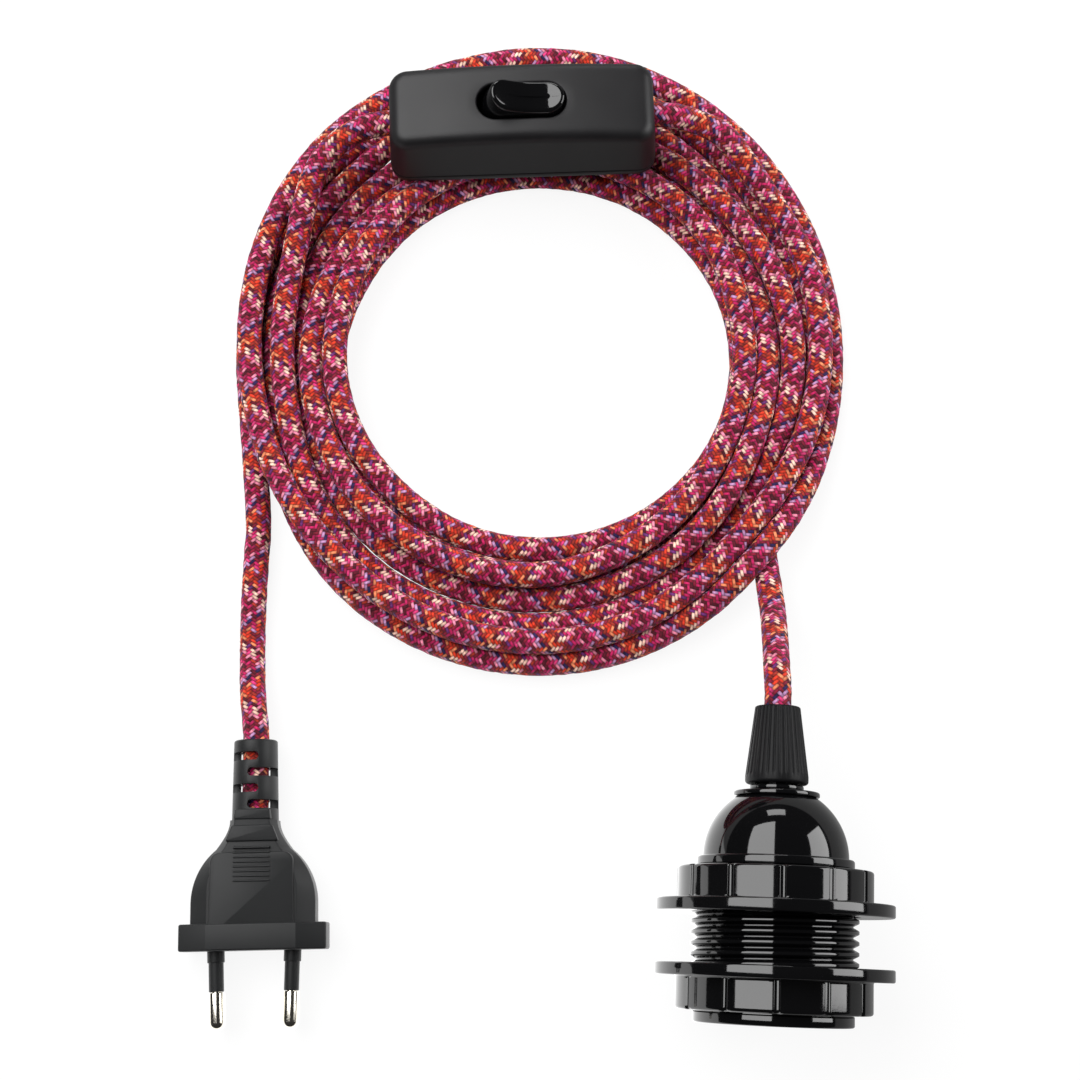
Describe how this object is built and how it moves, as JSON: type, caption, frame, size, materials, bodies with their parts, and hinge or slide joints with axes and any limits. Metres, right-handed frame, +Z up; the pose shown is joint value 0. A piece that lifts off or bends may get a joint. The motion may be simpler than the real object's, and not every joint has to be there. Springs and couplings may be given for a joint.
{
  "type": "pendant light",
  "caption": "Pendant light lying flat: threaded lamp holder with shade rings, braided cord wound in a coil, in-line rocker switch and flat mains plug.",
  "frame": {"origin": "on the table under the middle of the lamp holder, which lies on its two shade rings", "axes": "+Y along the lamp holder's axis from its mouth to its cord grip, +Z up from the table, +X to the right seen from above with the mouth nearest"},
  "size_m": [0.1728, 0.2654, 0.0566],
  "materials": {
    "phenolic": "polished black thermoset moulding",
    "grip_nylon": "matte black with fine lengthwise ribs",
    "plated_steel": "nickel-plated, lightly drawn",
    "contact_brass": "plain stamped brass",
    "plug_moulding": "fine matte charcoal moulding",
    "pin_nickel": "bright nickel plate",
    "switch_shell": "satin charcoal moulding",
    "rocker_gloss": "polished black",
    "braided_cord": "braided textile in maroon, fuchsia, pink, peach, orange and violet"
  },
  "bodies": {
    "body": {"threaded_skirt": "phenolic", "holder_cap": "phenolic", "holder_core": "phenolic", "cord_grip": "grip_nylon", "grip_nipple": "grip_nylon", "grip_nut": "plated_steel", "screw_shell": "plated_steel", "contact_tongue": "contact_brass", "live_terminal": "contact_brass", "live_terminal_screw": "plated_steel", "live_terminal_rivet": "contact_brass", "neutral_terminal": "contact_brass", "neutral_terminal_screw": "plated_steel", "neutral_terminal_rivet": "contact_brass", "plug_body": "plug_moulding", "plug_pin_left": "pin_nickel", "plug_pin_right": "pin_nickel", "pin_sleeve_left": "plug_moulding", "pin_sleeve_right": "plug_moulding", "switch_cover": "switch_shell", "switch_base": "switch_shell", "rocker_pivot": "plated_steel", "pivot_contact": "contact_brass", "fixed_contact": "contact_brass", "cord_clamp_left": "plated_steel", "cord_clamp_right": "plated_steel", "clamp_screw_left_1": "plated_steel", "clamp_screw_left_2": "plated_steel", "clamp_screw_right_1": "plated_steel", "clamp_screw_right_2": "plated_steel", "cord_coil": "braided_cord", "plug_lead": "braided_cord", "holder_lead": "braided_cord", "switch_lead_left": "braided_cord", "switch_lead_right": "braided_cord"},
    "rocker": {"rocker": "rocker_gloss", "rocker_spring": "plated_steel", "rocker_plunger": "plated_steel"},
    "contact_arm": {"contact_arm": "contact_brass"},
    "upper_ring": {"upper_shade_ring": "phenolic"},
    "lower_ring": {"lower_shade_ring": "phenolic"}
  },
  "joints": [
    {"name": "rocker_tilt", "type": "hinge", "parent": "body", "child": "rocker", "pos_m": [-0.0688, 0.1909, 0.0296], "axis": [0.075, -0.9972, 0], "range_deg": [0, 24]},
    {"name": "contact_tilt", "type": "hinge", "parent": "body", "child": "contact_arm", "pos_m": [-0.0688, 0.1909, 0.0214], "axis": [0.075, -0.9972, 0], "range_deg": [-12, 0]},
    {"name": "upper_ring_travel", "type": "slide", "parent": "body", "child": "upper_ring", "axis": [0, -1, 0], "range_m": [0, 0.0057]},
    {"name": "lower_ring_travel", "type": "slide", "parent": "body", "child": "lower_ring", "axis": [0, 1, 0], "range_m": [-0.005, 0.0057]}
  ],
  "couplings": [
    {"joint": "contact_tilt", "follows": "rocker_tilt", "ratio": -0.5}
  ]
}
